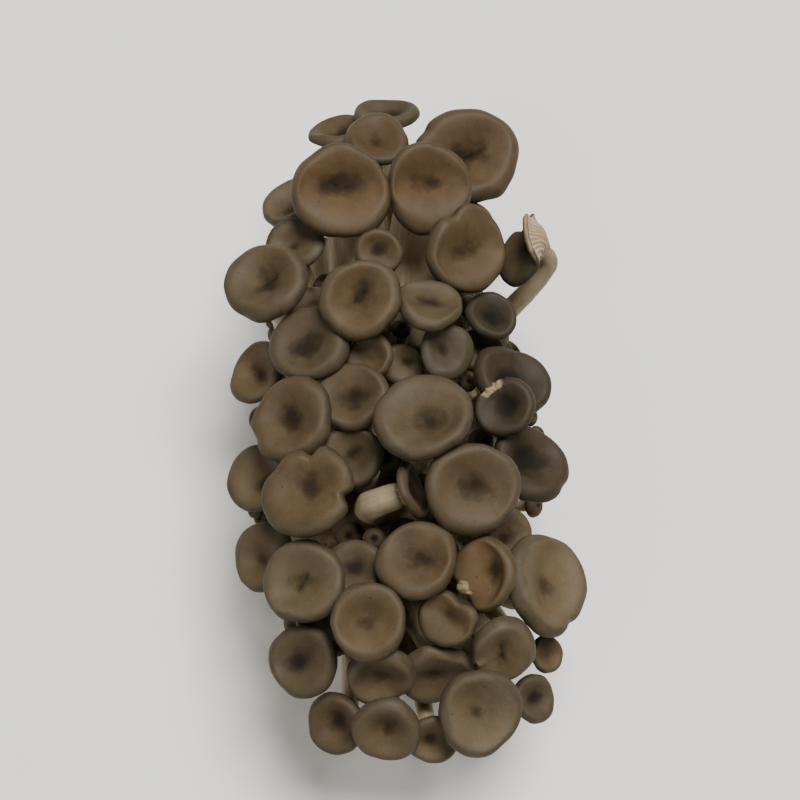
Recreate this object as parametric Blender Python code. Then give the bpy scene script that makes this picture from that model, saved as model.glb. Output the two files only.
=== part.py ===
"""A cluster of grey-brown shimeji mushrooms, standing on the cut face of its own butt.

The stems and the butt that they grow from are one pale body. Each cap is a body of its own:
a funnel with a rolled rim on top and radial gills underneath, running down to a short neck
that meets the stem. Metres, +Z up, +Y away from the viewer, origin under the middle.
"""

import math
import random

import bmesh
import bpy
from mathutils import Matrix, Vector
from mathutils.bvhtree import BVHTree

MM = 0.001

# Driving sizes of the whole cluster
CROWN_HEIGHT = 56 * MM  # top of the caps over the middle of the butt
CROWN_FALL_X = 12 * MM  # how much lower the caps stand at the edge, across
CROWN_FALL_Y = 12 * MM  # the same, along
CROWN_HALF_X = 38 * MM
CROWN_HALF_Y = 72 * MM
TIER_STEP = 3.5 * MM  # each tier of caps under the top one starts this much lower
TOP_TIER = 3
GAP = 0.3 * MM  # between a cap and its stem
CLEARANCE = 0.5 * MM  # between two caps
SINK_STEP = 0.5 * MM
WELD = 0.01 * MM  # points this near are made one

BUTT_HALF_X = 27 * MM
BUTT_HALF_Y = 52 * MM
BUTT_HEIGHT = 24 * MM
BUTT_SIDES = 32
BUTT_LUMPS = 0.045
ROOT_HEIGHT = 5 * MM  # the stems start inside the butt
ROOT_SPREAD = 0.57  # a stem's root lies at this share of its cap's distance from the middle

# Each cap, as it is seen from above: name, place across and along in mm, diameter in mm,
# lean from upright in degrees, the direction that it leans to in degrees from +X, and tier.
CAPS = (
    ("cap_01", -1, 75, 15.0, 35, 95, 1),
    ("cap_02", -12, 72, 14.5, 35, 105, 1),
    ("cap_03", -4, 64, 15.0, 15, 90, 2),
    ("cap_04", 17, 61, 23.5, 8, 300, 2),
    ("cap_05", -23, 52, 16.0, 32, 140, 0),
    ("cap_06", -13, 46, 21.5, 18, 262, 3),
    ("cap_07", 7, 48, 20.0, 25, 290, 3),
    ("cap_08", 27, 36, 18.0, 58, 165, 2),
    ("cap_09", 15, 33, 19.5, 28, 320, 2),
    ("cap_10", -5, 33, 10.5, 20, 250, 1),
    ("cap_11", -23, 38, 13.0, 15, 180, 1),
    ("cap_12", -30, 26, 19.0, 22, 165, 3),
    ("cap_13", -10, 18, 17.5, 14, 240, 3),
    ("cap_14", 5, 19, 14.5, 20, 75, 2),
    ("cap_15", 20, 21, 12.0, 12, 60, 0),
    ("cap_16", 18, 14, 11.0, 12, 330, 0),
    ("cap_17", 9, 9, 12.0, 15, 300, 1),
    ("cap_18", -8, 8, 10.5, 20, 200, 1),
    ("cap_19", 0, 8, 10.0, 25, 340, 0),
    ("cap_20", -21, 11, 17.5, 20, 180, 2),
    ("cap_21", -32, 9, 14.0, 38, 175, 0),
    ("cap_22", 24, 5, 18.0, 22, 20, 1),
    ("cap_23", -12, -1, 15.5, 15, 190, 2),
    ("cap_24", 2, -8, 20.5, 15, 125, 3),
    ("cap_25", 20, -4, 13.0, 15, 200, 2),
    ("cap_26", -25, -6, 18.5, 25, 185, 2),
    ("cap_27", -12, -13, 13.5, 15, 210, 1),
    ("cap_28", 27, -14, 18.0, 24, 10, 1),
    ("cap_29", 12, -24, 19.5, 18, 280, 3),
    ("cap_30", 1, -22, 12.0, 62, 10, 1),
    ("cap_31", -22, -23, 19.5, 22, 190, 3),
    ("cap_32", -31, -32, 15.0, 40, 185, 0),
    ("cap_33", 0, -37, 17.0, 14, 140, 3),
    ("cap_34", -12, -37, 13.0, 15, 160, 1),
    ("cap_35", 29, -40, 21.5, 33, 0, 2),
    ("cap_36", 13, -40, 15.5, 40, 185, 2),
    ("cap_37", -23, -40, 17.5, 25, 190, 2),
    ("cap_38", -10, -50, 15.5, 15, 230, 3),
    ("cap_39", 6, -49, 12.0, 28, 220, 2),
    ("cap_40", 18, -55, 14.0, 45, 280, 2),
    ("cap_41", 29, -53, 8.0, 30, 330, 0),
    ("cap_42", 5, -59, 15.5, 55, 275, 1),
    ("cap_43", -23, -55, 15.0, 30, 200, 1),
    ("cap_44", 26, -62, 10.5, 30, 335, 0),
    ("cap_45", 13, -67, 17.5, 25, 280, 2),
    ("cap_46", -6, -70, 14.5, 48, 258, 1),
    ("cap_47", -7, -60, 14.5, 52, 263, 2),
    ("cap_48", 4, -71, 10.5, 35, 275, 0),
    ("cap_49", -16, -67, 12.5, 30, 225, 1),
    ("cap_50", 6, 59, 12.0, 10, 90, 0),
    ("cap_51", -14, 57, 11.0, 20, 150, 0),
    ("cap_52", 18, 46, 11.0, 25, 20, 0),
    ("cap_53", -20, 22, 11.0, 15, 150, 0),
    ("cap_54", -32, -15, 15.0, 35, 185, 0),
    ("cap_55", 21, -29, 12.0, 25, 340, 0),
    ("cap_56", -17, -47, 14.0, 20, 190, 0),
    ("cap_57", 11, -53, 9.0, 15, 300, 0),
)

# A cap's section as shares of its radius: (distance from the axis, height over the crest)
NAVEL = (0.0, -0.36)
BOWL = (0.38, -0.20)
CREST = (0.77, 0.0)
RIM = (1.0, -0.21)
GILLS = (0.62, -0.40)
NECK_RADIUS = 0.30
NECK_DEPTH = 0.66
NECK_LEAST = 1.5 * MM
LOWEST_REACH = -0.76  # from here up to the next, a stem beside the cap can touch it
HIGHEST_REACH = 0.25
GILL_MARGIN = 0.15
GILL_RELIEF = 0.18  # how far every second gill column stands back, as a share
SMALL_CAP = 6 * MM  # below this radius a cap gets fewer sides
RIM_WAVE = 0.05  # how far the rim strays from a circle
RIM_LIFT = 0.07  # how far it waves up and down
DENT_SLOPE = 0.8  # how steeply the rim draws in beside a neighbour's stem
DENT_MARGIN = 0.9 * MM
DENT_LEAST = 0.3  # no dent takes a rim nearer to its axis than this share

# The butt's section as shares of its half widths and of its height
BUTT_SECTION = (
    (0.0, 1.0),
    (0.45, 0.93),
    (0.76, 0.72),
    (0.95, 0.48),
    (1.0, 0.27),
    (0.97, 0.08),
    (0.92, 0.0),
    (0.0, 0.0),
)

STEM_SWELL = 1.85  # a stem at its root, against its top
STEM_STRAIGHT = 2.2 * MM  # the stretch under the cap that follows the cap's axis
STEM_RISE = 0.4  # how far a stem keeps its first direction, as a share of its length
STEM_LEAD = 0.25  # and how far it keeps its last one, under an upright cap
STEM_HOOK = 0.5  # a leaning cap's stem turns sooner, but not sooner than by this share
STEM_FAN = 2.2  # a stem sets off toward a point this many crown heights over its cap's place
STEM_SPANS = 4
STEM_SAMPLES = 12


def clear_scene():
    for obj in list(bpy.data.objects):
        bpy.data.objects.remove(obj)


def make_material(name, colour, roughness):
    material = bpy.data.materials.new(name)
    material.use_nodes = True
    shader = material.node_tree.nodes["Principled BSDF"]
    shader.inputs["Base Color"].default_value = (*colour, 1)
    shader.inputs["Roughness"].default_value = roughness
    shader.inputs["Metallic"].default_value = 0
    return material


class Cap:
    """One cap's numbers, its outline and its place."""

    def __init__(self, row):
        self.name, across, along, diameter, lean, toward, self.tier = row
        self.radius = diameter / 2 * MM
        self.neck = max(NECK_RADIUS * self.radius, NECK_LEAST)
        self.depth = NECK_DEPTH * self.radius
        self.sides, self.cuts = (12, 3) if self.radius >= SMALL_CAP else (10, 2)
        self.axis = Vector(
            (
                math.sin(math.radians(lean)) * math.cos(math.radians(toward)),
                math.sin(math.radians(lean)) * math.sin(math.radians(toward)),
                math.cos(math.radians(lean)),
            )
        )
        x, y = across * MM, along * MM
        fall = CROWN_FALL_X * (x / CROWN_HALF_X) ** 2 + CROWN_FALL_Y * (y / CROWN_HALF_Y) ** 2
        self.centre = Vector((x, y, CROWN_HEIGHT - fall - TIER_STEP * (TOP_TIER - self.tier)))
        draw = random.Random(self.name)
        self.phases = [draw.uniform(0, 2 * math.pi) for _ in range(4)]
        self.share = [1.0] * self.columns

    @property
    def columns(self):
        return self.sides * self.cuts

    def matrix(self):
        turn = Vector((0, 0, 1)).rotation_difference(self.axis).to_matrix().to_4x4()
        return Matrix.Translation(self.centre) @ turn

    def neck_centre(self):
        return self.centre - self.axis * self.depth

    def outline(self, angle):
        """The rim's distance from the axis at this angle, as a share of the radius."""
        column = angle / (2 * math.pi) * self.columns
        low = math.floor(column)
        blend = column - low
        dent = self.share[low % self.columns] * (1 - blend)
        dent += self.share[(low + 1) % self.columns] * blend
        wave = math.cos(2 * angle + self.phases[0]) + 0.5 * math.cos(3 * angle + self.phases[1])
        return min(1 + RIM_WAVE * wave / 1.5, 1.0 + RIM_WAVE) * dent

    def lift(self, angle):
        """How far the rim waves up or down at this angle, as a share of the radius."""
        wave = math.cos(2 * angle + self.phases[2]) + 0.6 * math.cos(3 * angle + self.phases[3])
        return RIM_LIFT * wave / 1.6


def turned_section(cap):
    """The cap before it is shaped: its section turned about the axis, with gill edges cut."""
    neck = cap.neck / cap.radius
    section = [NAVEL, BOWL, CREST, RIM, GILLS, (neck, -NECK_DEPTH), (0.0, -NECK_DEPTH)]
    bm = bmesh.new()
    points = [bm.verts.new((r * cap.radius, 0, z * cap.radius)) for r, z in section]
    edges = [bm.edges.new(pair) for pair in zip(points, points[1:])]
    bmesh.ops.spin(
        bm,
        geom=points + edges,
        cent=(0, 0, 0),
        axis=(0, 0, 1),
        angle=2 * math.pi,
        steps=cap.sides,
        use_merge=True,
    )
    bmesh.ops.remove_doubles(bm, verts=bm.verts, dist=WELD)
    cut = [
        edge
        for edge in bm.edges
        if on_ring(edge.verts[0], edge.verts[1], cap, RIM)
        or on_ring(edge.verts[0], edge.verts[1], cap, GILLS)
    ]
    bmesh.ops.subdivide_edges(bm, edges=cut, cuts=cap.cuts - 1, use_grid_fill=True)
    return bm


def on_ring(first, second, cap, ring):
    """Whether both points lie at this ring's height, which no other ring shares."""
    level = ring[1] * cap.radius
    return all(abs(vert.co.z - level) < WELD for vert in (first, second))


def shape_cap(bm, cap):
    """Puts the cut points on the round, raises the gills and gives the cap its own outline."""
    for vert in bm.verts:
        x, y, z = vert.co
        angle = math.atan2(y, x) % (2 * math.pi)
        distance = math.hypot(x, y)
        for ring in (RIM, GILLS):
            if abs(z - ring[1] * cap.radius) < WELD:
                distance = ring[0] * cap.radius
                column = round(angle / (2 * math.pi) * cap.columns)
                if ring is GILLS and column % 2:
                    z += GILL_RELIEF * cap.radius
        share = distance / cap.radius
        reach = max(0.0, (share - cap.neck / cap.radius) / (1 - cap.neck / cap.radius))
        distance *= 1 + (cap.outline(angle) - 1) * reach
        z += cap.lift(angle) * cap.radius * share**2 * min(1.0, reach * 3)
        vert.co = (distance * math.cos(angle), distance * math.sin(angle), z)


def cap_mesh(cap):
    bm = turned_section(cap)
    shape_cap(bm, cap)
    bmesh.ops.triangulate(bm, faces=bm.faces)
    bmesh.ops.recalc_face_normals(bm, faces=bm.faces)
    mesh = bpy.data.meshes.new(cap.name)
    bm.to_mesh(mesh)
    bm.free()
    return mesh


def tree_of(mesh, matrix, grow=1.0):
    points = [matrix @ (vert.co * grow) for vert in mesh.vertices]
    return BVHTree.FromPolygons(points, [tuple(face.vertices) for face in mesh.polygons])


def settle(caps):
    """From the top tier down, each cap sinks until it clears those over it."""
    placed = []
    for cap in sorted(caps, key=lambda c: (-c.tier, -c.radius)):
        mesh = cap_mesh(cap)
        grow = 1 + CLEARANCE / cap.radius
        while any(tree_of(mesh, cap.matrix(), grow).overlap(other) for other in placed):
            cap.centre.z -= SINK_STEP
        placed.append(tree_of(mesh, cap.matrix()))
        bpy.data.meshes.remove(mesh)


def stem_line(cap):
    """The stem's stations, root first, as (place, radius): it ends along the cap's axis."""
    top = cap.neck_centre() - cap.axis * GAP
    bend = top - cap.axis * STEM_STRAIGHT
    root = Vector((cap.centre.x * ROOT_SPREAD, cap.centre.y * ROOT_SPREAD, ROOT_HEIGHT))
    length = (bend - root).length
    rise = Vector((cap.centre.x, cap.centre.y, STEM_FAN * CROWN_HEIGHT)).normalized()
    leaving = root + rise * length * STEM_RISE
    arriving = bend - cap.axis * length * STEM_LEAD * max(cap.axis.z, STEM_HOOK)
    controls = (root, leaving, arriving, bend)
    line = []
    for n in range(STEM_SPANS + 1):
        t = n / STEM_SPANS
        s = 1 - t
        weights = (s**3, 3 * s * s * t, 3 * s * t * t, t**3)
        place = sum((c * w for c, w in zip(controls, weights)), Vector())
        line.append((place, cap.neck * (1 + (STEM_SWELL - 1) * s)))
    line.append((top, cap.neck))
    return line


def along(line):
    """Points close together on the straight spans between a stem's stations."""
    for (low, thick), (high, thin) in zip(line, line[1:]):
        for n in range(STEM_SAMPLES):
            t = n / STEM_SAMPLES
            yield low.lerp(high, t), thick + (thin - thick) * t


def dent(caps):
    """Draws each cap's rim in where a neighbour's stem passes it."""
    for cap in caps:
        inward = cap.matrix().inverted()
        for other in caps:
            if other is cap:
                continue
            for place, radius in along(stem_line(other)):
                limit_rim(cap, inward @ place, radius + DENT_MARGIN)
        soften(cap)


def cap_reach(cap, height):
    """The cap's radius at this height over its crest, as a share, or none outside it."""
    share = height / cap.radius
    if not LOWEST_REACH < share < HIGHEST_REACH:
        return None
    if share >= GILLS[1]:
        return RIM[0]
    fall = (GILLS[1] - share) / (NECK_DEPTH + GILLS[1])
    return max(GILLS[0] + GILL_MARGIN - fall * (GILLS[0] - NECK_RADIUS), NECK_RADIUS)


def limit_rim(cap, local, keep_off):
    reach = cap_reach(cap, local.z)
    distance = math.hypot(local.x, local.y)
    if reach is None or distance > cap.radius + keep_off:
        return
    if distance < cap.neck + keep_off:
        print(f"{cap.name} has a neighbour's stem {distance / MM:.1f} mm from its axis")
        return
    middle = math.atan2(local.y, local.x)
    half = math.asin(min(1.0, keep_off / distance))
    for half_column in range(2 * cap.columns):
        angle = half_column / cap.columns * math.pi
        turn = (angle - middle + math.pi) % (2 * math.pi) - math.pi
        if abs(turn) < half:
            chord = math.sqrt(keep_off**2 - (distance * math.sin(turn)) ** 2)
            limit = max((distance * math.cos(turn) - chord) / (reach * cap.radius), DENT_LEAST)
            for column in (half_column // 2, -(-half_column // 2) % cap.columns):
                cap.share[column] = min(cap.share[column], limit)


def soften(cap):
    """Spreads each dent along the rim, so that it draws in gently."""
    step = 2 * math.pi / cap.columns
    cap.share = [
        min(
            cap.share[(column + off) % cap.columns] + DENT_SLOPE * abs(off) * step
            for off in range(-cap.columns // 4, cap.columns // 4 + 1)
        )
        for column in range(cap.columns)
    ]
    cap.share = [min(1.0, share) for share in cap.share]


def mesh_from_curve(curve_object):
    """A curve with its caps welded, as a mesh object."""
    graph = bpy.context.evaluated_depsgraph_get()
    mesh = bpy.data.meshes.new_from_object(curve_object.evaluated_get(graph))
    bm = bmesh.new()
    bm.from_mesh(mesh)
    bmesh.ops.remove_doubles(bm, verts=bm.verts, dist=WELD)
    bmesh.ops.recalc_face_normals(bm, faces=bm.faces)
    bm.to_mesh(mesh)
    bm.free()
    made = bpy.data.objects.new(curve_object.name + "_mesh", mesh)
    made.matrix_world = curve_object.matrix_world
    bpy.data.objects.remove(curve_object)
    return made


def make_stem(cap, collection):
    line = stem_line(cap)
    data = bpy.data.curves.new(cap.name + "_stem", "CURVE")
    data.dimensions = "3D"
    data.bevel_depth = 1.0
    data.bevel_resolution = 2
    data.use_fill_caps = True
    spline = data.splines.new("POLY")
    spline.points.add(len(line) - 1)
    for place, (position, radius) in zip(spline.points, line):
        place.co = (*position, 1)
        place.radius = radius
    guide = bpy.data.objects.new(cap.name + "_stem", data)
    bpy.context.scene.collection.objects.link(guide)
    bpy.context.view_layer.update()
    stem = mesh_from_curve(guide)
    collection.objects.link(stem)
    return stem


def make_butt():
    """The cut base: a lumpy mound, widest a little over its flat underside."""
    bm = bmesh.new()
    points = [bm.verts.new((r, 0, z * BUTT_HEIGHT)) for r, z in BUTT_SECTION]
    edges = [bm.edges.new(pair) for pair in zip(points, points[1:])]
    bmesh.ops.spin(
        bm,
        geom=points + edges,
        cent=(0, 0, 0),
        axis=(0, 0, 1),
        angle=2 * math.pi,
        steps=BUTT_SIDES,
        use_merge=True,
    )
    bmesh.ops.remove_doubles(bm, verts=bm.verts, dist=WELD)
    for vert in bm.verts:
        x, y, z = vert.co
        angle = math.atan2(y, x)
        lumps = 1 + BUTT_LUMPS * (math.cos(5 * angle + 1.0) + 0.8 * math.cos(8 * angle + 2.5))
        vert.co = (x * BUTT_HALF_X * lumps, y * BUTT_HALF_Y * lumps, z)
    bmesh.ops.recalc_face_normals(bm, faces=bm.faces)
    mesh = bpy.data.meshes.new("stems_and_butt")
    bm.to_mesh(mesh)
    bm.free()
    return bpy.data.objects.new("stems_and_butt", mesh)


def join_all(body, others):
    """One Boolean union of the stems with the butt, applied, with the loose stems removed."""
    union = body.modifiers.new("stems", "BOOLEAN")
    union.operation = "UNION"
    union.operand_type = "COLLECTION"
    union.collection = others
    union.solver = "MANIFOLD"
    bpy.context.view_layer.update()
    graph = bpy.context.evaluated_depsgraph_get()
    joined = bpy.data.meshes.new_from_object(body.evaluated_get(graph))
    body.modifiers.clear()
    body.data = joined
    for obj in list(others.objects):
        bpy.data.objects.remove(obj)
    bpy.data.collections.remove(others)


def centre_over_origin(objects):
    """Moves the whole cluster so that its box is centred on the origin, across and along."""
    bpy.context.view_layer.update()
    points = [obj.matrix_world @ vert.co for obj in objects for vert in obj.data.vertices]
    for side in (0, 1):
        low = min(point[side] for point in points)
        high = max(point[side] for point in points)
        for obj in objects:
            obj.location[side] -= (low + high) / 2


def main():
    clear_scene()
    skin = make_material("cap_skin", (0.145, 0.085, 0.045), 0.45)
    flesh = make_material("stem_flesh", (0.62, 0.50, 0.33), 0.6)
    cluster = bpy.data.collections.new("mushroom_cluster")
    bpy.context.scene.collection.children.link(cluster)
    loose = bpy.data.collections.new("stems")
    bpy.context.scene.collection.children.link(loose)

    caps = [Cap(row) for row in CAPS]
    settle(caps)
    dent(caps)

    body = make_butt()
    cluster.objects.link(body)
    for cap in caps:
        make_stem(cap, loose)
    join_all(body, loose)
    body.data.materials.clear()
    body.data.materials.append(flesh)
    body.data.shade_smooth()
    body.data.set_sharp_from_angle(angle=math.radians(40))

    made = [body]
    for cap in caps:
        obj = bpy.data.objects.new(cap.name, cap_mesh(cap))
        obj.data.materials.append(skin)
        obj.data.shade_smooth()
        obj.matrix_world = cap.matrix()
        cluster.objects.link(obj)
        made.append(obj)
    centre_over_origin(made)


main()
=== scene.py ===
import math
import random

import bpy
import numpy as np
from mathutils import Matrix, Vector, noise
from mathutils.bvhtree import BVHTree
from mathutils.kdtree import KDTree


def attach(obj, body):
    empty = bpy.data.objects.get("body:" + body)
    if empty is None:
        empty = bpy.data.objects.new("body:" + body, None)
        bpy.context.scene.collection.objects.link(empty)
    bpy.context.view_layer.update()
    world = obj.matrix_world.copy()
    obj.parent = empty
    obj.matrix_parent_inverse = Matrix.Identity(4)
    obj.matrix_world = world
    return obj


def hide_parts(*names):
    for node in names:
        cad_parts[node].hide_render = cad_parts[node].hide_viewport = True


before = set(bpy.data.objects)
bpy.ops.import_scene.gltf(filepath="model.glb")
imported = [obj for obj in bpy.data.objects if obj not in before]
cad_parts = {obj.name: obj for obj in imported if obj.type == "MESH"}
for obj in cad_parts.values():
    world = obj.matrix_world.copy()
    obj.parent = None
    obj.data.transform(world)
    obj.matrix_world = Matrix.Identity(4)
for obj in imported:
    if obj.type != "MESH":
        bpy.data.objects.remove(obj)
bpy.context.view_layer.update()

# THE HEADS, AS THEY STAND
# Each mushroom carries one funnel cap on its own stem. The frame holds each cap as a coarse
# solid: the flat neck gives its axis, the navel its size, and the rim its outline.

MM = 0.001
NECK_DROP = 0.66  # from the crest of the rim down to the neck, in cap radii
NAVEL_DROP = 0.36  # from the crest down to the navel
RIM_DROP = 0.21  # from the crest down to the outermost edge
ABOVE_NECK = 0.2 * MM
LARGE_CAP = 5.99 * MM  # the solids of caps over this radius have more points round the rim
LARGE_RIM, SMALL_RIM = 36, 20
ONE_PLANE = 0.99999  # faces lie in one plane if the cosine between their normals is over this
OUTLINE_SOFTENING = 6.0  # degrees over which the outline is rounded
OUTLINE_REACH = 20  # degrees to either side that the rounding takes in
TURN = np.linspace(0, 2 * math.pi, 361)  # once round a cap, degree by degree


class Head:
    """One cap's place, axis, radius and outline, read from its node."""

    def __init__(self, node):
        self.node = node
        self.random = random.Random(node)
        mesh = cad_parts[node].data
        mesh.calc_loop_triangles()
        points = np.array([vert.co for vert in mesh.vertices])
        corners = points[[list(face.vertices) for face in mesh.loop_triangles]]
        facing = np.cross(corners[:, 1] - corners[:, 0], corners[:, 2] - corners[:, 0])
        area = np.linalg.norm(facing, axis=1)
        normals = facing / area[:, None]
        alike = normals @ normals.T > ONE_PLANE
        flat = alike[(alike @ area).argmax()]
        self.axis = Vector(-np.average(normals[flat], axis=0, weights=area[flat])).normalized()
        self.neck = Vector(np.average(corners[flat].mean(axis=1), axis=0, weights=area[flat]))
        self.turn = Vector((0, 0, 1)).rotation_difference(self.axis).to_matrix()
        local = (points - np.array(self.neck)) @ np.array(self.turn)
        reach = np.hypot(local[:, 0], local[:, 1])
        upper = local[:, 2] > ABOVE_NECK
        navel = local[upper][reach[upper].argmin()]
        self.radius = navel[2] / (NECK_DROP - NAVEL_DROP)
        self.centre = self.neck + self.axis * self.radius * NECK_DROP
        count = LARGE_RIM if self.radius > LARGE_CAP else SMALL_RIM
        column = np.round(np.arctan2(local[:, 1], local[:, 0]) / (2 * math.pi) * count) % count
        rim = [np.where(column == n)[0][reach[column == n].argmax()] for n in range(count)]
        angles = np.arange(count) * 2 * math.pi / count
        share = reach[rim] / self.radius
        lift = local[rim, 2] / self.radius - NECK_DROP + RIM_DROP
        self.outline = soften(np.interp(TURN, angles, share, period=2 * math.pi))
        self.lift = soften(np.interp(TURN, angles, lift, period=2 * math.pi))

    def place(self, local):
        """Points given about the cap's own axis, with the crest at zero, in the frame."""
        return local @ np.array(self.turn).T + np.array(self.centre)


def soften(values):
    """Values round the circle, with their corners rounded."""
    steps = np.arange(-OUTLINE_REACH, OUTLINE_REACH + 1)
    weights = np.exp(-0.5 * (steps / OUTLINE_SOFTENING) ** 2)
    weights /= weights.sum()
    return sum(w * np.interp(TURN + math.radians(s), TURN, values, period=2 * math.pi)
               for s, w in zip(steps, weights))


heads = [Head(name) for name in sorted(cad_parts) if name.startswith("cap_")]

# THE STEMS AND THE BUTT
# Dense pale flesh in long fibres. The stems swell towards their feet, where they have grown
# into one lumpy butt, which a knife cut flat when the cluster was taken off its block.

BUTT_MIDDLE = Vector((0.68, -2.57, 0)) * MM  # where the butt stands under the crown
ROOT_SPREAD = 0.57  # a stem's foot lies at this share of its cap's distance from the middle
ROOT_HEIGHT = 5 * MM
FAN_HEIGHT = 123 * MM  # the stems set off as if towards a point this high over their caps
LEAVING, ARRIVING = 0.4, 0.25  # how far they keep their first and last direction, of the length
STEM_HOOK = 0.5  # under a leaning cap the last stretch is shorter, but not below this share
HOOKS = {"cap_30": 1.1}  # this stem lies almost level for a while
STEM_GAP = 0.3  # mm between the solid stem and the solid neck
STEM_STRAIGHT = 2.2  # mm below that, where the stem's bend ends
STEM_IN_CAP = 0.12  # how far it reaches into the cap, in cap radii
NECK_SHARE = 0.29  # a stem's radius at the neck, in cap radii
THINNEST_NECK = 1.45 * MM
STEM_SWELL = 1.85  # the foot's radius against the neck's
SWELL_WAVE = 0.06  # how much the stem swells and narrows on the way
STOUT = {"cap_30": 1.6, "cap_07": 1.3}  # how much thicker than most, as the photograph shows
STEM_TONES = (-0.7, 0.6)  # on a scale from dark, -1, to pale, 2
# cap_07's stem is painted paler, as painted light on a stem that the caps shade; cap_08's is
# painted darker, as painted shade; cap_30's is set darker.
STEM_TONES_AND_PAINTED_LIGHT = {"cap_07": 2.0, "cap_30": -0.4, "cap_08": -0.9}
STEM_SIDES = 24
STEM_RINGS = 26
FURROWS = 5
FURROW_DEPTH = 0.05
STEM_TWIST = 1.2  # radians, at most
STEM_OVAL = 0.07  # how far it is from round
BUTT_HALF_X = 27 * MM
BUTT_HALF_Y = 52 * MM
BUTT_HEIGHT = 24 * MM
BUTT_LUMPS = 0.045  # how far its five broad lumps stand out, with eight smaller ones
BUTT_SIDES, BUTT_RINGS = 96, 19
BUTT_SECTION = (
    (0.0, 1.0), (0.45, 0.93), (0.76, 0.72), (0.95, 0.48), (1.0, 0.27), (0.97, 0.06), (0.93, 0.0)
)
FLESH_GRAIN = 0.85 * MM  # the size of the faces that the grown-together body is made of
CUT_LEVEL = 0.45 * MM  # all flesh below this height lies in the cut face
CUT_EDGE = 0.4 * MM  # over this height the colour of the cut face fades into the sides
BARE_FROM, BARE_WIDTH = 0.3 * MM, 1.5 * MM  # how far outside the stems the butt's flesh begins
BARE_TOP, BARE_FADE = 30 * MM, 6 * MM  # the height at which it ends
WART = 3.2 * MM  # across the small swellings all over the butt
WART_HEIGHT = 0.7 * MM
STEM_WARTS = 0.15  # their height on the stems, against that on the butt
FIBRES_APART = 37.0  # mm from one stem to the next in the fibre pattern, so that no two match
LINE_STEPS = 16  # between two of the points that a smooth line goes through


def through(points, count):
    """This many points, evenly spaced along a smooth line through the given ones."""
    points = np.array(points, float)
    ends = np.vstack([2 * points[0] - points[1], points, 2 * points[-1] - points[-2]])
    t = np.linspace(0, 1, LINE_STEPS, endpoint=False)[:, None]
    fine = []
    for a, b, c, d in zip(ends, ends[1:], ends[2:], ends[3:]):
        bend = (2 * a - 5 * b + 4 * c - d) * t**2 + (3 * b - a - 3 * c + d) * t**3
        fine.append(0.5 * (2 * b + (c - a) * t + bend))
    fine = np.vstack(fine + [points[-1:]])
    run = np.r_[0, np.cumsum(np.linalg.norm(np.diff(fine, axis=0), axis=1))]
    at = np.linspace(0, run[-1], count)
    return np.column_stack([np.interp(at, run, fine[:, n]) for n in range(fine.shape[1])])


def ring_faces(rings, columns, start=0):
    """Quads between rings of points that each hold this many columns, facing outwards."""
    ring, column = np.mgrid[0:rings - 1, 0:columns]
    here = start + ring * columns + column
    there = start + ring * columns + (column + 1) % columns
    return np.stack([here, there, there + columns, here + columns], -1).reshape(-1, 4).tolist()


def turned_over(faces):
    """The same faces, facing the other way."""
    return [face[::-1] for face in faces]


def mesh_of(name, points, faces):
    """A smooth-shaded piece in the scene."""
    mesh = bpy.data.meshes.new(name)
    mesh.from_pydata(np.asarray(points).tolist(), [], faces)
    mesh.shade_smooth()
    piece = bpy.data.objects.new(name, mesh)
    bpy.context.scene.collection.objects.link(piece)
    return piece


def neck_radius(head):
    """A stem's radius where it meets its cap."""
    return max(NECK_SHARE * head.radius, THINNEST_NECK) * STOUT.get(head.node, 1)


def stem_line(head):
    """The stem's middle line from its foot to inside the cap."""
    top = head.neck - head.axis * STEM_GAP * MM
    bend = top - head.axis * STEM_STRAIGHT * MM
    out = head.centre - BUTT_MIDDLE
    root = BUTT_MIDDLE + Vector((out.x * ROOT_SPREAD, out.y * ROOT_SPREAD, ROOT_HEIGHT))
    length = (bend - root).length
    rise = Vector((out.x, out.y, FAN_HEIGHT)).normalized()
    leaving = root + rise * length * LEAVING
    hook = HOOKS.get(head.node, max(head.axis.z, STEM_HOOK))
    arriving = bend - head.axis * length * ARRIVING * hook
    line = []
    for t in np.linspace(0, 1, 9):
        s = 1 - t
        line.append(root * s**3 + leaving * 3 * s * s * t + arriving * 3 * s * t * t + bend * t**3)
    line.append(head.neck + head.axis * head.radius * STEM_IN_CAP)
    return through(line, STEM_RINGS)


def stem_points(head, line):
    """A tapered stem with furrows that twist as they rise, and each ring's three directions."""
    neck = neck_radius(head)
    t = np.linspace(0, 1, STEM_RINGS)[:, None]
    along = np.gradient(line, axis=0)
    along /= np.linalg.norm(along, axis=1)[:, None]
    side = np.cross(along, (0.0, 1.0, 0.0))
    side /= np.linalg.norm(side, axis=1)[:, None]
    other = np.cross(along, side)
    angle = np.linspace(0, 2 * math.pi, STEM_SIDES, endpoint=False)[None, :]
    draw = random.Random(head.node + "_stem")
    phase = draw.uniform(0, 2 * math.pi)
    twist = draw.uniform(-STEM_TWIST, STEM_TWIST)
    swell = 1 + (STEM_SWELL - 1) * (1 - t) + SWELL_WAVE * np.sin(9 * t + phase) * (1 - t)
    furrow = 1 + FURROW_DEPTH * np.cos(FURROWS * angle + phase + twist * t)
    oval = 1 + STEM_OVAL * np.cos(2 * angle + phase)
    radius = neck * swell * furrow * oval
    across = np.cos(angle)[..., None] * side[:, None] + np.sin(angle)[..., None] * other[:, None]
    return line[:, None] + radius[..., None] * across, side, other, along


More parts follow.
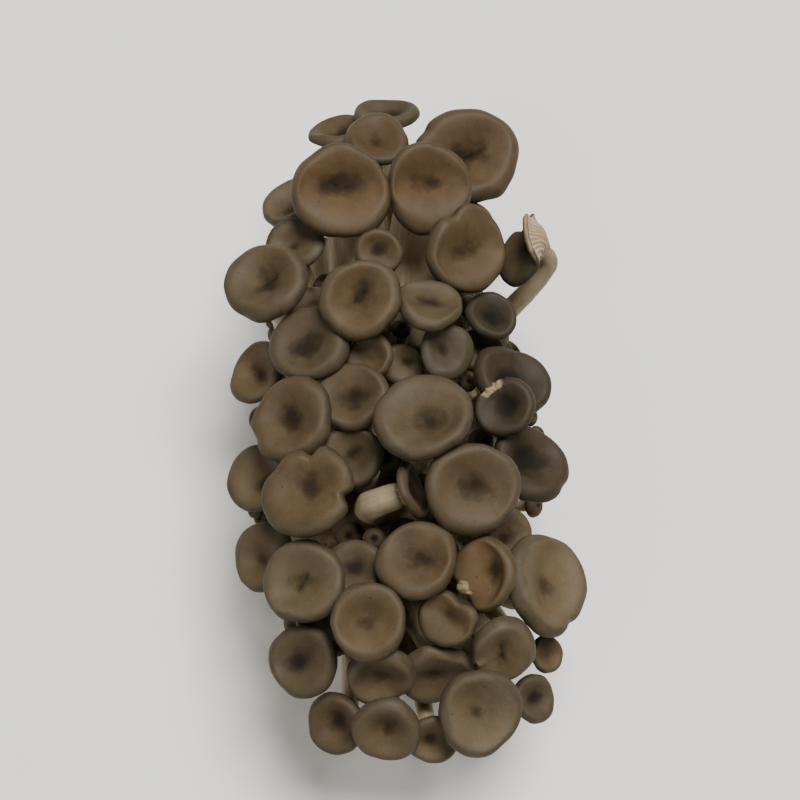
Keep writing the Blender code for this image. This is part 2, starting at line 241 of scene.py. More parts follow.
lines = [stem_line(head) for head in heads]
stems = [stem_points(head, line) for head, line in zip(heads, lines)]
points, faces, at = [], [], 0
for rings, side, other, along in stems:
    last = at + (STEM_RINGS - 1) * STEM_SIDES
    points.append(rings.reshape(-1, 3))
    faces += ring_faces(STEM_RINGS, STEM_SIDES, at)
    faces.append(list(range(at + STEM_SIDES - 1, at - 1, -1)))
    faces.append(list(range(last, last + STEM_SIDES)))
    at += STEM_RINGS * STEM_SIDES
butt_line = through([(r, z * BUTT_HEIGHT / BUTT_HALF_X) for r, z in BUTT_SECTION], BUTT_RINGS + 1)
butt_line[:, 1] *= BUTT_HALF_X
angle = np.linspace(0, 2 * math.pi, BUTT_SIDES, endpoint=False)[None, :]
lumps = 1 + BUTT_LUMPS * (np.cos(5 * angle + 1.0) + 0.8 * np.cos(8 * angle + 2.5))
r, z = butt_line[1:, :1], butt_line[1:, 1:]
mound = np.stack([r * BUTT_HALF_X * lumps * np.cos(angle),
                  r * BUTT_HALF_Y * lumps * np.sin(angle), z + 0 * angle], -1)
points.append(mound.reshape(-1, 3) + np.array(BUTT_MIDDLE))
faces += turned_over(ring_faces(BUTT_RINGS, BUTT_SIDES, at))
faces.append(list(range(at, at + BUTT_SIDES)))
last = at + (BUTT_RINGS - 1) * BUTT_SIDES
faces.append(list(range(last + BUTT_SIDES - 1, last - 1, -1)))
rough = mesh_of("stems_as_they_cross", np.vstack(points), faces)
for kind, settings in (
        ("REMESH", {"mode": "VOXEL", "voxel_size": FLESH_GRAIN}),
        ("SMOOTH", {"factor": 0.5, "iterations": 6})):
    modifier = rough.modifiers.new(kind.lower(), kind)
    for name, value in settings.items():
        setattr(modifier, name, value)
grown = bpy.data.meshes.new_from_object(rough.evaluated_get(bpy.context.evaluated_depsgraph_get()))
bpy.data.objects.remove(rough)
body = np.array([vert.co for vert in grown.vertices])
normals = np.array([vert.normal for vert in grown.vertices])
body_faces = [list(face.vertices) for face in grown.polygons]

near = KDTree(len(heads) * STEM_RINGS)
for n, line in enumerate(lines):
    for m, place in enumerate(line):
        near.insert(place, n * STEM_RINGS + m)
near.balance()
found = np.array([near.find(place)[1] for place in body])
stem, ring = found // STEM_RINGS, found % STEM_RINGS
side, other, along = (np.stack([s[n] for s in stems])[stem, ring] for n in (1, 2, 3))
away = body - np.stack(lines)[stem, ring]
step = np.array([np.linalg.norm(line[-1] - line[0]) / STEM_RINGS for line in lines])
necks = np.array([neck_radius(head) for head in heads])


def stem_radius(stem, ring):
    """How thick a stem is at one of its rings, without the furrows."""
    return necks[stem] * (1 + (STEM_SWELL - 1) * (1 - ring / (STEM_RINGS - 1)))


outside = np.linalg.norm(away, axis=1) - stem_radius(stem, ring)
bare = np.clip((outside - BARE_FROM) / BARE_WIDTH, 0, 1)
bare *= np.clip((BARE_TOP - body[:, 2]) / BARE_FADE, 0, 1)
swelling = np.array([noise.noise(Vector(place) / WART) for place in body])
swelling *= (STEM_WARTS + (1 - STEM_WARTS) * bare) * (body[:, 2] > CUT_LEVEL)
body += normals * (WART_HEIGHT * swelling)[:, None]
body[:, 2] = np.where(body[:, 2] < CUT_LEVEL, 0, body[:, 2])

flesh = mesh_of("stems_and_cut_butt", body, body_faces)


def mark(mesh, name, values):
    """Stores one number for each point of a mesh, for its material to read."""
    mesh.attributes.new(name, "FLOAT", "POINT").data.foreach_set(
        "value", np.ascontiguousarray(values, np.float32))


mark(flesh.data, "across", (away * side).sum(1) / MM)
mark(flesh.data, "around", (away * other).sum(1) / MM)
mark(flesh.data, "along",
     (ring * step[stem] + (away * along).sum(1)) / MM + FIBRES_APART * stem)
mark(flesh.data, "rise", ring / (STEM_RINGS - 1))
mark(flesh.data, "butt", bare)
mark(flesh.data, "cut", np.clip(1 - body[:, 2] / CUT_EDGE, 0, 1))
draw = random.Random("stem_tones")
tones = [draw.uniform(*STEM_TONES) for head in heads]
tones = [STEM_TONES_AND_PAINTED_LIGHT.get(head.node, tone) for head, tone in zip(heads, tones)]
mark(flesh.data, "tone", np.array(tones)[stem] * (1 - bare))


def linear(colour):
    """An sRGB hex colour as the linear values that a shader takes."""
    parts = [int(colour[n:n + 2], 16) / 255 for n in (1, 3, 5)]
    return [p / 12.92 if p <= 0.04045 else ((p + 0.055) / 1.055) ** 2.4 for p in parts] + [1]


def add(tree, kind, feeds=(), stops=(), **settings):
    """Adds a node with its settings, and links or sets each socket named in feeds."""
    made = tree.nodes.new(kind)
    for name, value in settings.items():
        setattr(made, name, value)
    for n, (position, colour) in enumerate(stops):
        ramp = made.color_ramp.elements
        stop = ramp[n] if n < len(ramp) else ramp.new(position)
        stop.position = position
        stop.color = linear(colour)
    for socket, source in dict(feeds).items():
        if isinstance(source, bpy.types.NodeSocket):
            tree.links.new(source, made.inputs[socket])
        else:
            made.inputs[socket].default_value = source
    return made


def new_material(name):
    """A material, its node tree and its shader."""
    material = bpy.data.materials.new(name)
    material.use_nodes = True
    return material, material.node_tree, material.node_tree.nodes["Principled BSDF"]


# Fresh mushroom flesh: matt and a little translucent, cream, with fibres under a millimetre
# wide along the stem. It bruises brown, most of all low on the butt, where the block stained it.
FIBRE = 0.55  # mm across one fibre
FIBRE_LENGTH = 9.0  # mm
STAIN = 9  # mm across a bruise
MOTTLE = 2.2  # mm across the fine mottling
STEM_CELL = 5.5  # mm across one stem's foot in the cut face
fresh_flesh, tree, shader = new_material("fresh_stem_flesh")
read = {name: add(tree, "ShaderNodeAttribute", attribute_name=name).outputs["Fac"]
        for name in ("across", "around", "along", "rise", "butt", "cut", "tone")}

# Its colour changes from the foot to the cap, in streaks along the fibres and a fine mottling.
fine = {name: add(tree, "ShaderNodeMath", {0: read[name], 1: 1 / size},
                  operation="MULTIPLY").outputs[0]
        for name, size in (("across", FIBRE), ("around", FIBRE), ("along", FIBRE_LENGTH))}
fibre_place = add(tree, "ShaderNodeCombineXYZ",
                  {"X": fine["across"], "Y": fine["around"], "Z": fine["along"]})
fibres = add(tree, "ShaderNodeTexNoise",
             {"Vector": fibre_place.outputs[0], "Scale": 1.0, "Detail": 3.0, "Roughness": 0.6})
where = add(tree, "ShaderNodeTexCoord").outputs["Object"]
stain = add(tree, "ShaderNodeTexNoise",
            {"Vector": where, "Scale": 1 / (STAIN * MM), "Detail": 5.0, "Roughness": 0.6})
mottle = add(tree, "ShaderNodeTexNoise",
             {"Vector": where, "Scale": 1 / (MOTTLE * MM), "Detail": 4.0, "Roughness": 0.55})
by_rise = add(tree, "ShaderNodeValToRGB", {"Fac": read["rise"]}, stops=(
    (0.0, "#9a8661"), (0.4, "#ac9c7b"), (0.75, "#9e9076"), (1.0, "#80735c")))
fibre_share = add(tree, "ShaderNodeMapRange", {
    "Value": fibres.outputs["Fac"], "From Min": 0.35, "From Max": 0.7, "To Min": 0.0,
    "To Max": 0.6})
streaked = add(tree, "ShaderNodeMix", {
    0: fibre_share.outputs[0], 6: by_rise.outputs[0], 7: linear("#7c6844")},
    data_type="RGBA", blend_type="MIX")
mottle_share = add(tree, "ShaderNodeMapRange", {
    "Value": mottle.outputs["Fac"], "From Min": 0.45, "From Max": 0.75, "To Min": 0.0,
    "To Max": 0.4})
speckled = add(tree, "ShaderNodeMix", {
    0: mottle_share.outputs[0], 6: streaked.outputs[2], 7: linear("#8e7751")},
    data_type="RGBA", blend_type="MIX")

# The butt is stained in blotches.
stain_share = add(tree, "ShaderNodeMapRange", {
    "Value": stain.outputs["Fac"], "From Min": 0.46, "From Max": 0.6, "To Min": 0.1,
    "To Max": 0.85})
bruise = add(tree, "ShaderNodeMath", {0: stain_share.outputs[0], 1: read["butt"]},
             operation="MULTIPLY")
bruised = add(tree, "ShaderNodeMix", {
    0: bruise.outputs[0], 6: speckled.outputs[2], 7: linear("#664d2e")},
    data_type="RGBA", blend_type="MIX")

# In the cut face each stem's foot shows as a pale patch, and the face has dried brown in places.
feet = add(tree, "ShaderNodeTexVoronoi", {
    "Vector": where, "Scale": 1 / (STEM_CELL * MM), "Randomness": 0.8},
    feature="DISTANCE_TO_EDGE")
foot_edge = add(tree, "ShaderNodeMapRange", {
    "Value": feet.outputs["Distance"], "From Min": 0.0, "From Max": 0.22, "To Min": 0.4,
    "To Max": 0.0})
feet_in_cut = add(tree, "ShaderNodeMix", {
    0: foot_edge.outputs[0], 6: linear("#ab9770"), 7: linear("#7c6741")},
    data_type="RGBA", blend_type="MIX")
dried_share = add(tree, "ShaderNodeMapRange", {
    "Value": stain.outputs["Fac"], "From Min": 0.4, "From Max": 0.65, "To Min": 0.0,
    "To Max": 0.7})
dried = add(tree, "ShaderNodeMix", {
    0: dried_share.outputs[0], 6: feet_in_cut.outputs[2], 7: linear("#86704a")},
    data_type="RGBA", blend_type="MIX")
cut_face = add(tree, "ShaderNodeMix", {
    0: mottle_share.outputs[0], 6: dried.outputs[2], 7: linear("#766039")},
    data_type="RGBA", blend_type="MIX")
flesh_colour = add(tree, "ShaderNodeMix", {
    0: read["cut"], 6: bruised.outputs[2], 7: cut_face.outputs[2]},
    data_type="RGBA", blend_type="MIX")

# Some stems are paler than others at random, and cap_07's and cap_08's are painted paler and
# darker as painted light and shade.
stem_light = add(tree, "ShaderNodeMapRange", {
    "Value": read["tone"], "From Min": -1.0, "From Max": 2.0, "To Min": 0.72, "To Max": 1.44})
stem_shade = add(tree, "ShaderNodeCombineXYZ", {axis: stem_light.outputs[0] for axis in "XYZ"})
shaded_flesh = add(tree, "ShaderNodeMix", {
    0: 1.0, 6: flesh_colour.outputs[2], 7: stem_shade.outputs[0]},
    data_type="RGBA", blend_type="MULTIPLY")
tree.links.new(shaded_flesh.outputs[2], shader.inputs["Base Color"])

# The fibres and the mottling stand up a little, and light soaks into the flesh.
flesh_relief = add(tree, "ShaderNodeMath", {0: fibres.outputs["Fac"], 1: mottle.outputs["Fac"]},
                   operation="ADD")
flesh_bump = add(tree, "ShaderNodeBump", {
    "Height": flesh_relief.outputs[0], "Strength": 0.8, "Distance": 0.16 * MM})
tree.links.new(flesh_bump.outputs[0], shader.inputs["Normal"])
shader.inputs["Roughness"].default_value = 0.62
shader.inputs["Subsurface Weight"].default_value = 0.15
shader.inputs["Subsurface Radius"].default_value = (1.0, 0.7, 0.4)
shader.inputs["Subsurface Scale"].default_value = 1.2 * MM
flesh.data.materials.append(fresh_flesh)
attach(flesh, "root")
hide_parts("stems_and_butt")

# THE CAPS
# A funnel with a rolled rim. The skin on top is thin, moist and grey-brown, darkest in the
# navel and palest on the rim. Underneath, thin pale gills run from the edge down the stem.

CAP_TOP = ((0.0, -0.32), (0.1, -0.312), (0.22, -0.275), (0.36, -0.2), (0.5, -0.12),
           (0.64, -0.045), (0.77, 0.0), (0.87, -0.02), (0.95, -0.08), (0.99, -0.155), (1.0, -0.21))
CAP_LIP = ((1.0, -0.21), (0.995, -0.25), (0.975, -0.28), (0.94, -0.285))
GILL_LINE = ((0.94, -0.285), (0.9, -0.275), (0.8, -0.31), (0.62, -0.4), (0.46, -0.51),
             (0.35, -0.62), (0.305, -0.72), (0.28, -0.8))
TOP_RINGS, LIP_RINGS, GILL_RINGS = 18, 5, 12
CREST = 0.77  # the highest ring of the rim, in cap radii
GILL_PITCH = 0.9 * MM  # between two gills at the edge of the cap
GILL_CORNERS = (0.0, 0.24, 0.36, 0.88)  # one gill's section, as shares of the pitch
LEAST_GILLS = 24
GILL_DEPTH = 0.1  # in cap radii
ROLLED_GILL_DEPTH = 0.045  # on a cap that is rolled back, whose gills are pressed together
NECK_GILL_DEPTH = 0.2  # at the neck, against the full depth, which they have from GILL_FULL on
GILL_FULL, GILL_EDGE, GILL_FADE = 0.62, 0.93, 0.12  # in cap radii, as are the next four
GILL_STARTS = (0.0, 0.66, 0.44, 0.66)  # how near the stem each gill of four comes
NECK_WIDTH, NECK_TUCK = 0.3, 0.02  # the flat end's radius, and how far the last gill ring is in
LOBES = 0.05  # how far the rim's lobes stand out
DIMPLES = 0.07  # the depth of the soft dimples in the top
THINNEST_NECK_WIDTH = 1.5 * MM
HOLLOW_DEPTHS = (0.9, 1.15)  # against the depth of CAP_TOP
cap_section = np.vstack([through(CAP_TOP, TOP_RINGS)[1:], through(CAP_LIP, LIP_RINGS)[1:],
                         through(GILL_LINE, GILL_RINGS)[1:]])
SKIN_RINGS = TOP_RINGS + LIP_RINGS - 2

# How single caps differ, as they lie in the photograph. Angles are in degrees from +X.
# Mostly each cap's own tone, partly painted light and shade: cap_16 is set paler to lift it out of
# its shade, cap_03 and cap_23 darker as painted shade where they lie behind other caps, and cap_40
# to cap_48 paler, partly their own tone and partly a painted haze of glare.
CAP_TONES_AND_PAINTED_LIGHT = {  # from dark, -1, to pale, 1
    "cap_03": -0.3, "cap_04": -0.2, "cap_06": 0.0, "cap_07": -0.1, "cap_09": 0.0,
    "cap_10": -0.2, "cap_13": 0.0, "cap_14": 0.0, "cap_15": -1.0, "cap_16": -0.4,
    "cap_17": -0.5, "cap_18": 0.0, "cap_22": -1.0, "cap_23": -0.2, "cap_24": 0.0,
    "cap_25": -1.0, "cap_28": -0.9, "cap_29": -0.1, "cap_30": -0.4, "cap_33": -0.2,
    "cap_35": 0.9, "cap_36": 0.3, "cap_38": 0.1, "cap_39": 0.0, "cap_40": 0.6, "cap_41": 0.4,
    "cap_42": 0.4, "cap_44": -0.2, "cap_45": 0.8, "cap_46": 0.3, "cap_47": 0.6, "cap_48": 0.3}
FADED = {  # how much smaller than most the dark patch in the hollow is, in cap radii
    "cap_03": 0.14, "cap_07": 0.1, "cap_09": 0.1, "cap_14": 0.08, "cap_18": 0.2, "cap_35": 0.08,
    "cap_38": 0.16, "cap_39": 0.12, "cap_41": 0.25, "cap_45": 0.16, "cap_46": 0.12}
WARMTHS = {  # from grey-brown, -1, to red-brown, 1
    "cap_03": 0.6, "cap_04": 0.8, "cap_06": 1.0, "cap_07": 0.9, "cap_09": 0.5, "cap_13": 0.4,
    "cap_15": -1.0, "cap_16": -1.0, "cap_17": -1.0, "cap_22": -0.5, "cap_24": -0.5,
    "cap_25": -0.6, "cap_28": -0.4, "cap_29": -0.3, "cap_36": 0.8, "cap_38": 0.3}
HOLLOWS = {  # direction and stretch of a hollow drawn out long, direction and shift off-centre
    "cap_04": (30, 0.6, 200, 0.12), "cap_06": (0, 0.7, 90, 0.12), "cap_07": (5, 0.8, 90, 0.14),
    "cap_09": (28, 0.8, 270, 0.06), "cap_13": (60, 0.3, 100, 0.1), "cap_14": (-20, 0.8, 90, 0.1),
    "cap_22": (0, 0.4, 240, 0.12), "cap_24": (0, 0.2, -35, 0.16), "cap_28": (20, 0.3, 135, 0.15),
    "cap_29": (-20, 0.3, 45, 0.14), "cap_33": (-45, 0.4, 35, 0.16), "cap_35": (80, 0.6, 0, 0.04),
    "cap_36": (90, 0.5, 0, 0.36), "cap_38": (0, 0.3, 170, 0.1), "cap_39": (-50, 0.8, 60, 0.14)}
SLITS = {  # a crack through the hollow: direction, half length and depth in cap radii
    "cap_06": (8, 0.24, 0.05), "cap_40": (120, 0.3, 0.03), "cap_13": (60, 0.3, 0.03),
    "cap_12": (40, 0.3, 0.03), "cap_37": (70, 0.35, 0.03), "cap_04": (200, 0.6, 0.05)}
BITES = {  # where the rim draws in: direction, half width in degrees, depth in cap radii
    "cap_09": ((122, 16, 0.15),), "cap_39": ((50, 26, 0.34),), "cap_35": ((-55, 10, 0.07),),
    "cap_04": ((-50, 14, -0.07), (150, 10, 0.05)), "cap_28": ((-30, 16, 0.06),),
    "cap_26": ((200, 15, 0.09),), "cap_14": ((190, 18, 0.08),), "cap_31": ((150, 14, 0.08),),
    "cap_47": ((-60, 25, 0.14), (200, 20, 0.08)), "cap_36": ((232, 16, 0.2),),
    "cap_12": ((240, 16, 0.08),), "cap_22": ((80, 16, 0.06),)}
BITE_BEND = 0.5  # how far the rim droops where it draws in, against the depth of the bite
# Ragged edges are given as the bites are. Then comes where bare flesh shows: the share of the
# radius from which it does, and half its width in degrees.
TEARS = {
    "cap_36": (205, 30, 0.2, 0.6, 20), "cap_25": (122, 40, 0.12, 0.58, 34),
    "cap_08": (15, 70, 0.03, 0.95, 75)}
ROLLS = {"cap_08": (10, 75)}  # a side rolled back over the cap: direction, and degrees of turn
ROLL_START = 0.22  # how far from the middle the roll begins, in cap radii
ROLL_RADIUS = 0.28
ROLL_LEVEL = -0.12  # the height in the cap at which its flesh keeps its length
SLIT_WIDTH, SLIT_SWING = 0.05, 0.05  # in cap radii
CRUMB_HEIGHT = 0.12  # at most, on torn flesh

# The ranges for the caps that are not named above.
OTHER_TONES, OTHER_WARMTHS = (-0.4, 0.5), (-0.9, 0.3)
OTHER_HOLLOWS = ((0, 180), (0, 0.45), (0, 360), (0.03, 0.13))


def smooth_step(values, low, high):
    """From 0 to 1 between two limits, easing in and out."""
    t = np.clip((values - low) / (high - low), 0, 1)
    return t * t * (3 - 2 * t)


def turned_by(angle, degrees):
    """How far an angle lies from a direction given in degrees, from -pi to pi."""
    return (angle - math.radians(degrees) + math.pi) % (2 * math.pi) - math.pi


def roll_back(x, y, z, degrees, bend):
    """Rolls one side of a cap up and over, so that its gills show."""
    bend = math.radians(bend)
    along_x, along_y = math.cos(math.radians(degrees)), math.sin(math.radians(degrees))
    u, v = x * along_x + y * along_y, y * along_x - x * along_y
    run = np.maximum(u - ROLL_START, 0)
    turn = np.minimum(run / ROLL_RADIUS, bend)
    past = run - turn * ROLL_RADIUS
    arm = ROLL_RADIUS + ROLL_LEVEL - z
    rolled_u = ROLL_START + arm * np.sin(turn) + past * np.cos(turn)
    rolled_z = ROLL_LEVEL + ROLL_RADIUS - arm * np.cos(turn) + past * np.sin(turn)
    u, z = np.where(run > 0, rolled_u, u), np.where(run > 0, rolled_z, z)
    return u * along_x - v * along_y, v * along_x + u * along_y, z


def cap_piece(head):
    """One cap: the skin over its top and lip, the gills under it, and the flat end of its neck."""
    draw = head.random
    gills = max(LEAST_GILLS, 4 * round(2 * math.pi * head.radius / GILL_PITCH / 4))
    angle = (np.arange(gills)[:, None] + np.array(GILL_CORNERS)).ravel() * 2 * math.pi / gills
    blade = np.tile([1.0, 1.0, 0.0, 0.0], gills)
    starts = np.repeat(np.array(GILL_STARTS)[np.arange(gills) % 4], 4)
    share, height = cap_section[:, :1], cap_section[:, 1:]
    under = (np.arange(len(cap_section)) >= SKIN_RINGS)[:, None]
    neck = max(NECK_WIDTH, THINNEST_NECK_WIDTH / head.radius)
    share = np.where(under, np.maximum(share, neck - NECK_TUCK), share)
    way, stretch, side, shift = HOLLOWS.get(
        head.node, [draw.uniform(*span) for span in OTHER_HOLLOWS])
    deep = draw.uniform(*HOLLOW_DEPTHS) / (1 + 0.4 * stretch) - max(0, shift - 0.1)
    height = height * np.where(under | (share >= CREST), 1, deep)

    # The outline, from the frame, with lobes, bites and tears of its own.
    outline = np.interp(angle, TURN, head.outline)
    for waves in (3, 5, 7, 11):
        outline = outline + LOBES / waves * np.cos(waves * angle + draw.uniform(0, 2 * math.pi))
    tear, frayed, bend = 0, 0, 0
    for degrees, width, depth in BITES.get(head.node, ()):
        bite = depth * np.exp(-(turned_by(angle, degrees) / math.radians(width)) ** 2)
        outline = outline - bite
        bend = bend + BITE_BEND * np.abs(bite)
    if head.node in TEARS:
        degrees, width, depth, bared, bared_width = TEARS[head.node]
        off = np.degrees(turned_by(angle, degrees))
        torn = np.exp(-(off / width) ** 4)
        ragged = sum(np.cos(waves * angle + draw.uniform(0, 6)) / 3 for waves in (13, 23, 37))
        tear = depth * torn * (0.75 * smooth_step(share, 0.55, 1.0)
                               + 0.6 * ragged * smooth_step(share, 0.84, 1.0))
        frayed = np.exp(-(off / bared_width) ** 4) * smooth_step(share, bared - 0.12, bared + 0.12)
    lift = np.interp(angle, TURN, head.lift)
    reach = np.clip((share - neck) / (1 - neck), 0, 1)
    far = share * (1 + (outline - 1) * reach) - tear
    z = height + lift * share**2 * np.minimum(1, reach * 3)
    z = z - bend * smooth_step(share, 0.35, 1.0)

    # The gills, which stand between valleys that sink into the cap.
    depth = ROLLED_GILL_DEPTH if head.node in ROLLS else GILL_DEPTH
    depth = depth * smooth_step(GILL_EDGE - share, 0, GILL_FADE) * (
        NECK_GILL_DEPTH + (1 - NECK_GILL_DEPTH) * smooth_step(share, neck, GILL_FULL))
    standing = blade * smooth_step(share, starts - 0.04, starts + 0.06)
    sunk = np.where(under, depth * (1 - standing), 0)
    slope = np.gradient(cap_section, axis=0)
    slope /= np.linalg.norm(slope, axis=1)[:, None]
    far = far + sunk * slope[:, 1:]
    z = z - sunk * slope[:, :1]
    x, y = far * np.cos(angle), far * np.sin(angle)

    # The top: a hollow drawn out and off the middle, soft dimples, and for some caps a crack.
    on_top = np.where(under, 0, 1) * smooth_step(1.0 - share, 0, 0.9)
    cos, sin = math.cos(math.radians(way)), math.sin(math.radians(way))
    u = (x * cos + y * sin) * (1 + stretch * on_top)
    v = (y * cos - x * sin) * (1 - 0.25 * stretch * on_top)
    off_x, off_y = shift * math.cos(math.radians(side)), shift * math.sin(math.radians(side))
    x = u * cos - v * sin + off_x * on_top
    y = v * cos + u * sin + off_y * on_top
    for waves in (1.9, 3.1, 4.7, 7.3):
        turn = draw.uniform(0, 2 * math.pi)
        wave = np.sin(waves * (x * math.cos(turn) + y * math.sin(turn)) + draw.uniform(0, 6))
        z = z + np.where(under, 0, DIMPLES / waves * wave * smooth_step(1.0 - share, 0, 0.25))
    slit = np.zeros_like(x)
    if head.node in SLITS:
        way, half, deep = SLITS[head.node]
        cos, sin = math.cos(math.radians(way)), math.sin(math.radians(way))
        u = (x - off_x) * cos + (y - off_y) * sin
        v = (y - off_y) * cos - (x - off_x) * sin + SLIT_SWING * np.sin(u * 7)
        slit = np.exp(-(v / SLIT_WIDTH) ** 2) * (1 - smooth_step(np.abs(u), 0.5 * half, half))
        slit = np.where(under, 0, slit)
        z = z - deep * slit
    if head.node in TEARS:
        crumbs = [noise.noise((8 * a, 8 * b, 0)) + noise.noise((19 * a, 19 * b, 5)) / 2
                  for a, b in zip(x.ravel(), y.ravel())]
        crumb_height = min(CRUMB_HEIGHT, 2 * TEARS[head.node][2])
        z = z + crumb_height * frayed * np.reshape(crumbs, x.shape)
    if head.node in ROLLS:
        x, y, z = roll_back(x, y, z, *ROLLS[head.node])

    local = np.stack([x, y, z], -1).reshape(-1, 3) * head.radius
    columns, rings = len(angle), len(cap_section)
    middle = local[:columns].mean(axis=0)
    points = np.vstack([head.place(local), head.place(middle[None, :])])
    faces = turned_over(ring_faces(rings, columns))
    faces += [[len(local), n, (n + 1) % columns] for n in range(columns)]
    faces.append(list(range(len(local) - 1, len(local) - columns - 1, -1)))
    piece = mesh_of("mushroom_" + head.node, points, faces)
    kinds = np.zeros(len(faces), np.int32)
    kinds[:(rings - 1) * columns] = np.repeat(np.arange(rings - 1) >= SKIN_RINGS - 1, columns)
    kinds[-1] = 1
    piece.data.polygons.foreach_set("material_index", kinds)
    tone = CAP_TONES_AND_PAINTED_LIGHT.get(head.node, draw.uniform(*OTHER_TONES))
    warm = WARMTHS.get(head.node, draw.uniform(*OTHER_WARMTHS))
    faded = FADED.get(head.node, 0)
    for name, values in (
            ("share", share), ("ray_x", np.cos(angle)), ("ray_y", np.sin(angle)),
            ("blade", standing), ("torn", frayed), ("slit", slit)):
        mark(piece.data, name, np.r_[np.broadcast_to(values, x.shape).ravel(), 0])
    mark(piece.data, "tone", np.full(len(points), tone))
    mark(piece.data, "warm", np.full(len(points), warm))
    mark(piece.data, "faded", np.r_[np.broadcast_to(faded * (1 - share), x.shape).ravel(), faded])
    return piece


# Moist mushroom skin: a soft broad gloss over grey-brown, with faint fibres that run out from
# the navel and a fine grain, as on suede. Where it is torn, the cream flesh shows.
RAY = 0.5  # mm between fibres at the edge of a cap of middling size
MIDDLING_CAP = 9  # mm, its radius
RAY_CELLS = 1.6  # changes along a fibre, from the middle to the edge
CLOUD = 4.5  # mm across a cloud in the skin's tone
GRAIN = 0.35  # mm across the fine grain
PALE_SHRINK = 0.12  # how much smaller the dark patch is on the palest caps, in cap radii
SPECK_SPACING = 4.0  # mm between the small dark specks, most of which lie inside the cap
SPECK_SIZE = 0.3  # mm, the radius of the largest
moist_skin, tree, shader = new_material("moist_cap_skin")
read = {name: add(tree, "ShaderNodeAttribute", attribute_name=name).outputs["Fac"]
        for name in ("share", "ray_x", "ray_y", "tone", "warm", "faded", "torn", "slit")}
where = add(tree, "ShaderNodeTexCoord").outputs["Object"]
clouds = add(tree, "ShaderNodeTexNoise",
             {"Vector": where, "Scale": 1 / (CLOUD * MM), "Detail": 5.0, "Roughness": 0.55})
grain = add(tree, "ShaderNodeTexNoise",
            {"Vector": where, "Scale": 1 / (GRAIN * MM), "Detail": 3.0, "Roughness": 0.6})
ray_place = add(tree, "ShaderNodeCombineXYZ", {
    axis: add(tree, "ShaderNodeMath", {0: read[name], 1: times}, operation="MULTIPLY").outputs[0]
    for axis, name, times in (("X", "ray_x", MIDDLING_CAP / RAY),
                              ("Y", "ray_y", MIDDLING_CAP / RAY), ("Z", "share", RAY_CELLS))})
rays = add(tree, "ShaderNodeTexNoise",
           {"Vector": ray_place.outputs[0], "Scale": 1.0, "Detail": 3.0, "Roughness": 0.6})

# The dark patch in the hollow has a blotchy edge, and is smaller on faded and on pale caps.
blotch = add(tree, "ShaderNodeMapRange", {
    "Value": clouds.outputs["Fac"], "From Min": 0.3, "From Max": 0.7, "To Min": -0.12,
    "To Max": 0.12})
uneven = add(tree, "ShaderNodeMath", {0: read["share"], 1: blotch.outputs[0]}, operation="ADD")
uneven = add(tree, "ShaderNodeMath", {0: uneven.outputs[0], 1: read["faded"]}, operation="ADD")
uneven = add(tree, "ShaderNodeMath", {0: read["tone"], 1: PALE_SHRINK, 2: uneven.outputs[0]},
             operation="MULTIPLY_ADD")
# The last stops darken the outermost edge and the underside of the lip, as painted shade where the
# rim rolls under.
brown = add(tree, "ShaderNodeValToRGB", {"Fac": uneven.outputs[0]}, stops=(
    (0.0, "#1e160b"), (0.12, "#261b0e"), (0.25, "#3a2a18"), (0.38, "#493823"),
    (0.66, "#4b3b26"), (0.8, "#4a3b28"), (0.93, "#463a28"), (1.0, "#3a3020")))
grey = add(tree, "ShaderNodeValToRGB", {"Fac": uneven.outputs[0]}, stops=(
    (0.0, "#1c170d"), (0.12, "#221c11"), (0.25, "#342c1c"), (0.38, "#423929"),
    (0.66, "#463c2b"), (0.8, "#443c2c"), (0.93, "#41392a"), (1.0, "#352e22")))
warmth = add(tree, "ShaderNodeMapRange", {
    "Value": read["warm"], "From Min": -1.0, "From Max": 1.0, "To Min": 0.0, "To Max": 1.0})
skin_hue = add(tree, "ShaderNodeMix", {
    0: warmth.outputs[0], 6: grey.outputs[0], 7: brown.outputs[0]},
    data_type="RGBA", blend_type="MIX")

# Fibres show outside the hollow. The tone differs from cap to cap, partly as painted light and
# shade, and in soft clouds.
# Grain and specks are darker, and the cracks are painted darker as painted shade in them.
outer = add(tree, "ShaderNodeMapRange", {
    "Value": read["share"], "From Min": 0.25, "From Max": 0.7, "To Min": 0.0, "To Max": 1.0})
ray_share = add(tree, "ShaderNodeMath", {0: rays.outputs["Fac"], 1: 0.5}, operation="SUBTRACT")
ray_share = add(tree, "ShaderNodeMath", {0: ray_share.outputs[0], 1: outer.outputs[0]},
                operation="MULTIPLY")
ray_light = add(tree, "ShaderNodeMath", {0: ray_share.outputs[0], 1: 0.28, 2: 1.0},
                operation="MULTIPLY_ADD")
# Partly painted light and shade: each cap's tone sets how light its skin is.
tone_light = add(tree, "ShaderNodeMapRange", {
    "Value": read["tone"], "From Min": -1.0, "From Max": 1.0, "To Min": 0.5, "To Max": 1.42})
grain_light = add(tree, "ShaderNodeMapRange", {
    "Value": grain.outputs["Fac"], "From Min": 0.3, "From Max": 0.7, "To Min": 0.9,
    "To Max": 1.08})
cloud_light = add(tree, "ShaderNodeMapRange", {
    "Value": clouds.outputs["Fac"], "From Min": 0.35, "From Max": 0.65, "To Min": 0.88,
    "To Max": 1.12})
specks = add(tree, "ShaderNodeTexVoronoi", {"Vector": where, "Scale": 1 / (SPECK_SPACING * MM)})
speck_light = add(tree, "ShaderNodeMapRange", {
    "Value": specks.outputs["Distance"], "From Min": 0.03, "From Max": SPECK_SIZE / SPECK_SPACING,
    "To Min": 0.5, "To Max": 1.0})
